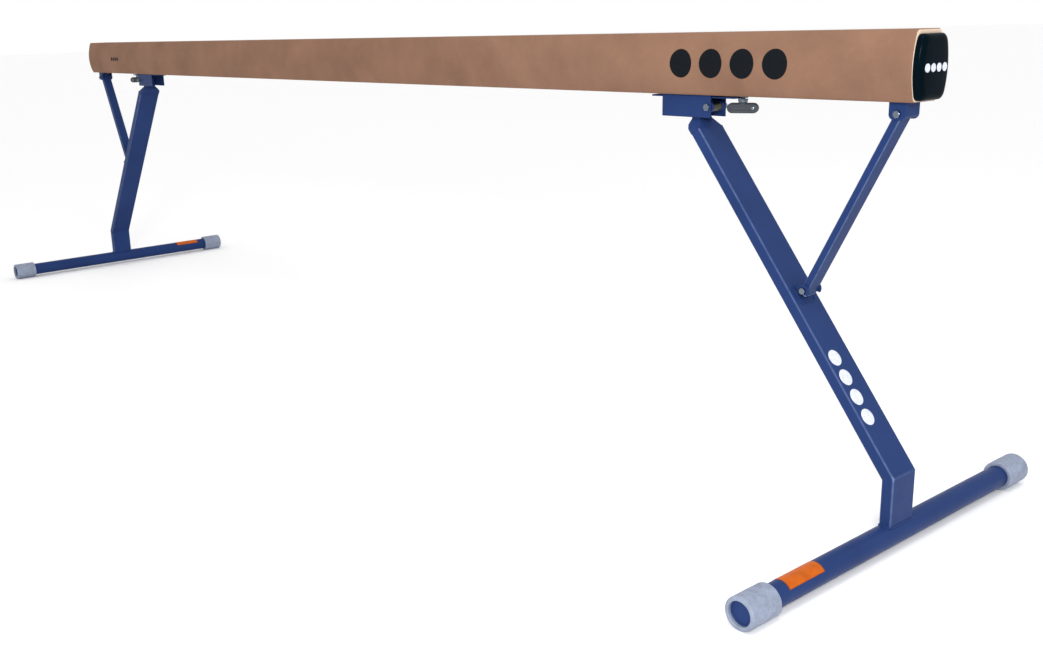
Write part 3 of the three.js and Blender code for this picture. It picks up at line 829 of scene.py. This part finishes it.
def build_rubber_cups():
    """Rubber cups: thick moulded sleeves with rounded lips and a stepped mouth."""
    low, high, _ = cad_box("rubber_cup_rear")
    outer, start, end = (high.z - low.z) / 2, low.y, high.y
    back, lip, mouth_lip, belly = 0.0035, 0.0048, 0.0025, 0.0002
    profile = arc((outer - back, start + back), back, 270, 360, 4)
    profile += [(outer - belly, start + 0.02), (outer, (start + end) / 2), (outer - belly, end - 0.02)]
    profile += arc((outer - lip, end - lip), lip, 0, 90, 5)
    profile += arc((CUP_MOUTH + mouth_lip, end - mouth_lip), mouth_lip, 90, 180, 4)
    profile += [(CUP_MOUTH + 0.0006, BAR_HIGH.y + 0.0006), (CUP_SEAT, BAR_HIGH.y + 0.0004)]
    profile.append((CUP_SEAT, start + 0.001))
    for side in SIDES:
        for place, way in (("front", -1), ("rear", 1)):
            vertices, faces = turned_ring(profile, FOOT, ACROSS * way, 72)
            name, body = f"{side}_{place}_cup", f"{side}_leg"
            cup = add_piece(name, on_side(side, vertices), faces, "rubber", body, 50)
            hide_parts(f"{side}_rubber_cup_{place}")


def wrapped_patch(radius, arc_degrees, y0, y1, thickness):
    """A thin patch wrapped over the top of the crossbar."""
    steps = 20
    rings = []
    for out in (radius, radius + thickness):
        curve = arc((FOOT.x, FOOT.z), out, 90 + arc_degrees / 2, 90 - arc_degrees / 2, steps)
        ring = [Vector((x, y0, z)) for x, z in curve]
        rings.append(ring + [Vector((x, y1, z)) for x, z in reversed(curve)])
    vertices, faces = loft(rings, closed_ends=False)
    outline = len(rings[0])
    for base in (0, outline):
        for i in range(steps):
            far = base + outline - 1 - i
            faces.append((base + i, base + i + 1, far - 1, far))
    return vertices, faces


def build_labels():
    """Blank safety-orange label on the front half of each crossbar, with a darker border."""
    glue, vinyl, proud = 0.00005, 0.0003, 0.0002
    border = wrapped_patch(BAR_RADIUS + glue, 118, LABEL_START, LABEL_END, vinyl)
    start, end = LABEL_START + LABEL_BORDER, LABEL_END - LABEL_BORDER
    field = wrapped_patch(BAR_RADIUS + glue + proud, 112, start, end, vinyl)
    for side in SIDES:
        body = f"{side}_leg"
        add_piece(f"{side}_label_border", on_side(side, border[0]), border[1], "label_edge", body, 40)
        add_piece(f"{side}_label", on_side(side, field[0]), field[1], "label", body, 40)


def build_leg_marks():
    """A plain row of light discs printed on the leg's outer face."""
    upward, _ = leg_directions()
    radius, thickness, off_centre, sunk = 0.0215, 0.0004, -0.018, 0.00002
    for side in SIDES:
        parts = []
        for up in row(LEG_ROW):
            centre = leg_point(up, LEG_THICK / 2 - sunk, off_centre)
            parts.append(disc(centre, ACROSS, upward, radius, thickness))
        vertices, faces = joined(*parts)
        add_piece(f"{side}_leg_mark", on_side(side, vertices), faces, "white_ink", f"{side}_leg", 60)


def build_braces():
    """Braces: open-ended rectangular tube between the two pivots."""
    _, _, low_pin = cad_box("brace_low_sleeve")
    _, _, high_pin = cad_box("brace_top_sleeve")
    along = (high_pin - low_pin).normalized()
    square = Vector((-along.z, 0, along.x))
    past_pin = along * 0.012
    start, end = low_pin - past_pin, high_pin + past_pin
    bore_thick, bore_wide = BRACE_THICK - 2 * BRACE_WALL, BRACE_WIDE - 2 * BRACE_WALL
    outer = rounded_rectangle(BRACE_THICK, BRACE_WIDE, 0.003, 4, TUBE_FLATS)
    inner = rounded_rectangle(bore_thick, bore_wide, 0.001, 4, TUBE_FLATS)
    stops = (0.0, 0.002, 0.006, 0.5, 0.994, 0.998, 1.0)
    rings = []
    for section, shares in ((outer, stops), (inner, stops[::-1])):
        for share in shares:
            centre = start.lerp(end, share)
            rings.append([centre + square * a + ACROSS * y for a, y in section])
    vertices, faces = loft(rings, endless=True)
    for side in SIDES:
        name, body = f"{side}_brace_box_tube", f"{side}_brace"
        brace = add_piece(name, on_side(side, vertices), faces, "tube_coat", body, 32)
        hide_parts(f"{side}_brace_tube")


# Fasteners and clamp


def hexagon(origin, axis, radius, height):
    """A hexagon head or nut standing on origin, its outer corners cut back to a cone."""
    steps, slope = 36, math.tan(math.radians(30))
    half_flat = radius * math.cos(math.pi / 6)
    face_radius = half_flat * 0.94
    base, shoulder, face = [], [], []
    for i, out in enumerate(spokes(axis, steps)):
        angle = 2 * math.pi * i / steps
        off_flat = (angle + math.pi / 6) % (math.pi / 3) - math.pi / 6
        reach = half_flat / math.cos(off_flat)
        cut = (reach - face_radius) * slope
        base.append(Vector(origin) + out * reach)
        shoulder.append(Vector(origin) + out * reach + axis * (height - cut))
        face.append(Vector(origin) + out * face_radius + axis * height)
    return loft([base, shoulder, face])


def washer(origin, inner, outer, thickness):
    """A flat washer with a rounded rim, facing along Y."""
    rim = thickness * 0.3
    profile = [(inner, 0), (outer, 0), (outer, thickness - rim), (outer - rim, thickness), (inner, thickness)]
    return turned_ring(profile, origin, ACROSS, 40)


def build_bolts():
    """Hinge bolts through the brackets, each with a washer and nut at its far end."""
    chamfer, chamfer_long, clearance, rim = 0.0015, 0.002, 0.0002, 0.0015
    for bolt_name, nut_name, body, radius, head in HINGE_BOLTS:
        bolt_low, bolt_high, middle = cad_box(bolt_name)
        nut_low, nut_high, _ = cad_box(nut_name)
        seat, end = -nut_low.y, bolt_high.y
        inside_head = seat - 0.001
        shank = [(0, inside_head), (radius, inside_head), (radius, end - chamfer_long)]
        shank += [(radius - chamfer, end), (0, end)]
        bolt = joined(
            hexagon((middle.x, seat, middle.z), -ACROSS, head, seat - bolt_low.y),
            turned(shank, (middle.x, 0, middle.z), ACROSS, 32),
        )
        nut_seat = (middle.x, nut_low.y, middle.z)
        on_washer = (middle.x, nut_low.y + WASHER_HEIGHT, middle.z)
        nut = joined(
            hexagon(on_washer, ACROSS, head, nut_high.y - nut_low.y - WASHER_HEIGHT),
            washer(nut_seat, radius + clearance, head + rim, WASHER_HEIGHT + clearance),
        )
        for side in SIDES:
            for name, (vertices, faces) in ((bolt_name, bolt), (nut_name, nut)):
                points, rides_on = on_side(side, vertices), body.format(side=side)
                piece = add_piece(f"{side}_{name}_hex", points, faces, "zinc", rides_on, 25)
                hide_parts(f"{side}_{name}")


def build_pivot_barrels():
    """Yellow-zinc barrel between the leg head's ears, on the lock bolt."""
    low, high, middle = cad_box("pivot_barrel")
    radius, half = (high.z - low.z) / 2, (high.y - low.y) / 2
    bore, edge = 0.0063, 0.001
    profile = [(bore, -half), (radius - edge, -half), (radius, -half + edge)]
    profile += [(radius, half - edge), (radius - edge, half), (bore, half)]
    vertices, faces = turned_ring(profile, middle, ACROSS)
    for side in SIDES:
        name, body = f"{side}_barrel", f"{side}_leg"
        barrel = add_piece(name, on_side(side, vertices), faces, "yellow_zinc", body, 35)
        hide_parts(f"{side}_pivot_barrel")


def build_clamp_screws():
    """Clamp screws: a chamfered hub with a threaded stud above it."""
    low, high, middle = cad_box("clamp_screw")
    hub, stud = (high.y - low.y) / 2, 0.006
    base = cad_box("clamp_grip")[1].z + 0.0003
    top = cad_box("clamp_washer")[2].z - 0.0012
    waist, tail, collar, edge = hub - 0.001, stud - 0.001, 0.0026, 0.0006
    profile = [(0, low.z), (tail, low.z), (tail, base), (hub - 0.0025, base)]
    profile += [(waist, base + 0.0012), (waist, top - 0.003), (hub, top - collar)]
    profile += [(hub, top - edge), (hub - edge, top), (stud, top)]
    crest, root = 0.0003, stud - 0.0009
    height = top
    while height < high.z - 2 * THREAD_PITCH:
        profile += [(stud, height + crest), (root, height + THREAD_PITCH / 2)]
        profile.append((stud, height + THREAD_PITCH * 0.9))
        height += THREAD_PITCH
    profile += [(stud - 0.0012, high.z), (0, high.z)]
    vertices, faces = turned(profile, (middle.x, 0, 0), UP, 40)
    for side in SIDES:
        name, body = f"{side}_clamp_stud", f"{side}_clamp_screw"
        screw = add_piece(name, on_side(side, vertices), faces, "zinc", body, 32)
        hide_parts(f"{side}_clamp_screw")


def stadium(reach, radius):
    """Outline of a bar with round ends."""
    return arc((reach, 0), radius, -90, 90, 12) + arc((-reach, 0), radius, 90, 270, 12)


def grip_bar(reach, radius, thick):
    """The grip's rounded bar, with a finger recess on each face."""
    rounding, steps, recess = 0.0065, 6, 0.0012
    levels = []
    for step in range(steps + 1):
        angle = math.radians(90 * step / steps)
        levels.append((rounding * (1 - math.cos(angle)), thick / 2 - rounding * (1 - math.sin(angle))))
    levels += [(rounding + 0.0012, thick / 2), (rounding + 0.0022, thick / 2 - recess)]
    levels = [(inset, -depth) for inset, depth in reversed(levels)] + levels
    return loft([[Vector((u, y, w)) for u, w in stadium(reach, radius - inset)] for inset, y in levels])


def build_grips():
    """Moulded bar grips with a finger recess on each face, a socket boss and a rivet."""
    low, high, middle = cad_box("clamp_grip")
    settings = bpy.context.scene.leg_settings
    tall, thick, long = high.z - low.z, settings.grip_thickness, settings.grip_length
    reach, radius = (long - tall) / 2, tall / 2
    boss = [(0, 0.006), (0.0105, 0.006), (0.0112, 0.0066)]
    boss += [(0.0112, radius - 0.0004), (0.009, radius), (0, radius)]
    bar = joined(grip_bar(reach, radius, thick), turned(boss, (0, 0, 0), UP, 40))
    dome = [(0.0042, thick / 2), (0.003, thick / 2 + 0.0006), (0, thick / 2 + 0.0008)]
    dome = [(r, -along) for r, along in reversed(dome)] + dome
    rivet = turned(dome, (reach, 0, 0), ACROSS, 28)
    for side in SIDES:
        turn = Matrix.Rotation(math.radians(GRIP_TURN[side]), 4, "Z")
        body = f"{side}_clamp_screw"
        bar_points = on_side(side, [middle + turn @ Vector(p) for p in bar[0]])
        grip = add_piece(f"{side}_bar_grip", bar_points, bar[1], "grip_plastic", body, 40)
        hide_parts(f"{side}_clamp_grip")
        rivet_points = on_side(side, [middle + turn @ Vector(p) for p in rivet[0]])
        add_piece(f"{side}_grip_rivet", rivet_points, rivet[1], "zinc", body, 40)


def dress_cad_nodes():
    """CAD pieces that keep their own shape: their edges are broken and their finish put on."""
    slots = {entry["node"]: entry["material_slot"] for entry in frame["record"]["subparts"]}
    for name, node in frame["nodes"].items():
        if node.hide_render:
            continue
        node.data.materials.clear()
        node.data.materials.append(finish(slots[name]))
        kind = name.split("_", 1)[1]
        if kind not in BROKEN_EDGES:
            continue
        weld = node.modifiers.new("merge", "WELD")
        weld.merge_threshold = 1e-5
        bevel = node.modifiers.new("broken_edges", "BEVEL")
        bevel.width = BROKEN_EDGES[kind] * MM
        bevel.segments = 3
        bevel.limit_method = "ANGLE"
        bevel.angle_limit = math.radians(32)
        bevel.harden_normals = True


# Stage


def build_floor():
    """Pale seamless floor that reaches far behind the beam."""
    steps = 24
    rings = []
    for i in range(steps + 1):
        x = FLOOR_REACH * (2 * i / steps - 1)
        rings.append([(x, -FLOOR_REACH, 0), (x, FLOOR_REACH, 0)])
    vertices = [point for ring in rings for point in ring]
    faces = [(2 * i, 2 * i + 2, 2 * i + 3, 2 * i + 1) for i in range(steps)]
    mesh = bpy.data.meshes.new("studio_floor")
    mesh.from_pydata(vertices, [], faces)
    paint = {"Base Color": linear("FBFBFB"), "Roughness": 0.9}
    mesh.materials.append(new_material("matt_floor_paint", paint)[0])
    floor = bpy.data.objects.new("studio_floor", mesh)
    bpy.context.scene.collection.objects.link(floor)


def build_lights():
    """White surround and two soft lights near the right end."""
    scene = bpy.context.scene
    world = bpy.data.worlds.new("studio_world")
    scene.world = world
    world.use_nodes = True
    surround = world.node_tree.nodes["Background"]
    surround.inputs["Color"].default_value = linear("FFFFFF")
    surround.inputs["Strength"].default_value = 1.0
    power = scene.stage_settings.key_power
    lights = (
        ("key_softbox", (4.6, -3.4, 2.3), (1.9, 0, 0.8), power, 0.6),
        ("top_softbox", (3.2, -1.2, 4.0), (2.0, 0, 1.2), power * 0.35, 1.2),
    )
    for name, at, towards, energy, size in lights:
        data = bpy.data.lights.new(name, "AREA")
        data.energy = energy
        data.size = size
        light = bpy.data.objects.new(name, data)
        light.location = at
        light.rotation_euler = (Vector(towards) - Vector(at)).to_track_quat("-Z", "Y").to_euler()
        scene.collection.objects.link(light)


def build_camera():
    """The camera, from its place, heading, pitch and roll in radians."""
    scene = bpy.context.scene
    data = bpy.data.cameras.new("studio_camera")
    data.sensor_width = 36
    data.lens = scene.stage_settings.focal
    data.shift_x = 0.0419
    data.shift_y = -0.0068
    camera = bpy.data.objects.new("studio_camera", data)
    scene.collection.objects.link(camera)
    place = (3.8345, -2.3801, 1.2879)
    heading, pitch, roll = -0.8992, -0.2576, -0.0301
    flat = math.cos(pitch)
    ahead = Vector((math.sin(heading) * flat, math.cos(heading) * flat, math.sin(pitch)))
    level = Vector((math.cos(heading), -math.sin(heading), 0))
    above = level.cross(ahead)
    right = level * math.cos(roll) + above * math.sin(roll)
    up = above * math.cos(roll) - level * math.sin(roll)
    camera.matrix_world = Matrix.Translation(place) @ Matrix((right, up, -ahead)).transposed().to_4x4()
    scene.camera = camera
    scene.view_settings.view_transform = "Standard"


# Operators


class BEAM_OT_cover(bpy.types.Operator):
    """Build the suede cover and the foam edge that shows at its ends"""

    bl_idname = "beam.cover"
    bl_label = "Padded Cover"

    def execute(self, context):
        build_cover()
        build_foam_edges()
        return {"FINISHED"}


class BEAM_OT_end_caps(bpy.types.Operator):
    """Build the moulded end caps"""

    bl_idname = "beam.end_caps"
    bl_label = "End Caps"

    def execute(self, context):
        build_end_caps()
        return {"FINISHED"}


class BEAM_OT_printed_marks(bpy.types.Operator):
    """Build the plain printed discs on the beam, caps and legs"""

    bl_idname = "beam.printed_marks"
    bl_label = "Printed Marks"

    def execute(self, context):
        build_beam_marks()
        build_cap_marks()
        build_leg_marks()
        return {"FINISHED"}


class BEAM_OT_leg_tubes(bpy.types.Operator):
    """Build the bent leg tubes and their weld beads"""

    bl_idname = "beam.leg_tubes"
    bl_label = "Leg Tubes"

    def execute(self, context):
        build_leg_tubes()
        build_welds()
        return {"FINISHED"}


class BEAM_OT_crossbars(bpy.types.Operator):
    """Build the crossbars and their labels"""

    bl_idname = "beam.crossbars"
    bl_label = "Crossbars"

    def execute(self, context):
        build_crossbars()
        build_labels()
        return {"FINISHED"}


class BEAM_OT_rubber_cups(bpy.types.Operator):
    """Build the rubber cups on the crossbars"""

    bl_idname = "beam.rubber_cups"
    bl_label = "Rubber Cups"

    def execute(self, context):
        build_rubber_cups()
        return {"FINISHED"}


class BEAM_OT_braces(bpy.types.Operator):
    """Build the folding braces"""

    bl_idname = "beam.braces"
    bl_label = "Braces"

    def execute(self, context):
        build_braces()
        return {"FINISHED"}


class BEAM_OT_bolts(bpy.types.Operator):
    """Build the hinge bolts, nuts and pivot barrels"""

    bl_idname = "beam.bolts"
    bl_label = "Bolts"

    def execute(self, context):
        build_bolts()
        build_pivot_barrels()
        return {"FINISHED"}


class BEAM_OT_clamps(bpy.types.Operator):
    """Build the clamp screws and their grips"""

    bl_idname = "beam.clamps"
    bl_label = "Clamps"

    def execute(self, context):
        build_clamp_screws()
        build_grips()
        return {"FINISHED"}


class BEAM_OT_metalwork(bpy.types.Operator):
    """Finish the brackets, channels, plates and sleeves"""

    bl_idname = "beam.metalwork"
    bl_label = "Metalwork"

    def execute(self, context):
        dress_cad_nodes()
        return {"FINISHED"}


class BEAM_OT_stage(bpy.types.Operator):
    """Build the floor, lights and camera"""

    bl_idname = "beam.stage"
    bl_label = "Stage"

    def execute(self, context):
        build_floor()
        build_lights()
        build_camera()
        return {"FINISHED"}


BUILDERS = (
    BEAM_OT_cover,
    BEAM_OT_end_caps,
    BEAM_OT_printed_marks,
    BEAM_OT_leg_tubes,
    BEAM_OT_crossbars,
    BEAM_OT_rubber_cups,
    BEAM_OT_braces,
    BEAM_OT_bolts,
    BEAM_OT_clamps,
    BEAM_OT_metalwork,
    BEAM_OT_stage,
)


class BEAM_PT_panel(bpy.types.Panel):
    """Sizes, colours and builders of the balance beam"""

    bl_idname = "BEAM_PT_panel"
    bl_label = "Balance Beam"
    bl_space_type = "VIEW_3D"
    bl_region_type = "UI"
    bl_category = "Balance Beam"

    def draw(self, context):
        scene = context.scene
        for settings in (scene.beam_settings, scene.leg_settings, scene.stage_settings):
            box = self.layout.box()
            for name in settings.__annotations__:
                box.prop(settings, name)
        for builder in BUILDERS:
            self.layout.operator(builder.bl_idname)


CLASSES = (BeamSettings, LegSettings, StageSettings, *BUILDERS, BEAM_PT_panel)


def register():
    for cls in CLASSES:
        bpy.utils.register_class(cls)
    bpy.types.Scene.beam_settings = bpy.props.PointerProperty(type=BeamSettings)
    bpy.types.Scene.leg_settings = bpy.props.PointerProperty(type=LegSettings)
    bpy.types.Scene.stage_settings = bpy.props.PointerProperty(type=StageSettings)


def unregister():
    del bpy.types.Scene.stage_settings
    del bpy.types.Scene.leg_settings
    del bpy.types.Scene.beam_settings
    for cls in reversed(CLASSES):
        bpy.utils.unregister_class(cls)


def main():
    """Registers the add-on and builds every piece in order."""
    register()
    bpy.ops.beam.cover()
    bpy.ops.beam.end_caps()
    bpy.ops.beam.printed_marks()
    bpy.ops.beam.leg_tubes()
    bpy.ops.beam.crossbars()
    bpy.ops.beam.rubber_cups()
    bpy.ops.beam.braces()
    bpy.ops.beam.bolts()
    bpy.ops.beam.clamps()
    bpy.ops.beam.metalwork()
    bpy.ops.beam.stage()


if __name__ == "__main__":
    main()
